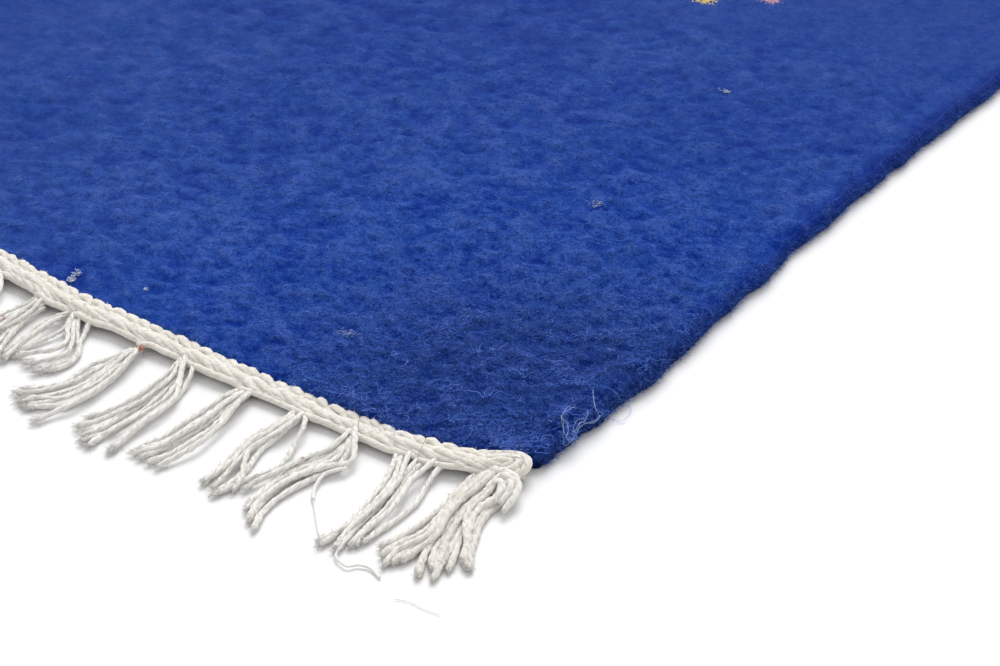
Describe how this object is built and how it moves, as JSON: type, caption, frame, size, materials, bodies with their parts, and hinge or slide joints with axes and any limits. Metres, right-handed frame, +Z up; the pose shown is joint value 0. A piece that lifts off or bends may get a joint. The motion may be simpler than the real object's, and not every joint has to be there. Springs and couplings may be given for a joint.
{
  "type": "kilim rug",
  "caption": "Small flat-woven kilim rug: royal blue wool field, a plaited cream cotton web across each end and cream warp tassels from each web.",
  "frame": {"origin": "on the surface that the rug lies on, under the centre of its box", "axes": "+Z up through the rug; +Y along its length and its warp, from one fringed end to the other; +X across its width, along the weft"},
  "size_m": [0.6176, 0.9868, 0.0045],
  "materials": {
    "blue_wool": "matt, fuzzy hand-spun wool weft",
    "web_cotton": "matt plaited undyed cotton",
    "warp_cotton": "matt two-ply undyed cotton yarn"
  },
  "bodies": {
    "root": {"field": "blue_wool", "end_web_near": "web_cotton", "end_web_far": "web_cotton", "fringe_near": "warp_cotton", "fringe_far": "warp_cotton"}
  },
  "joints": []
}
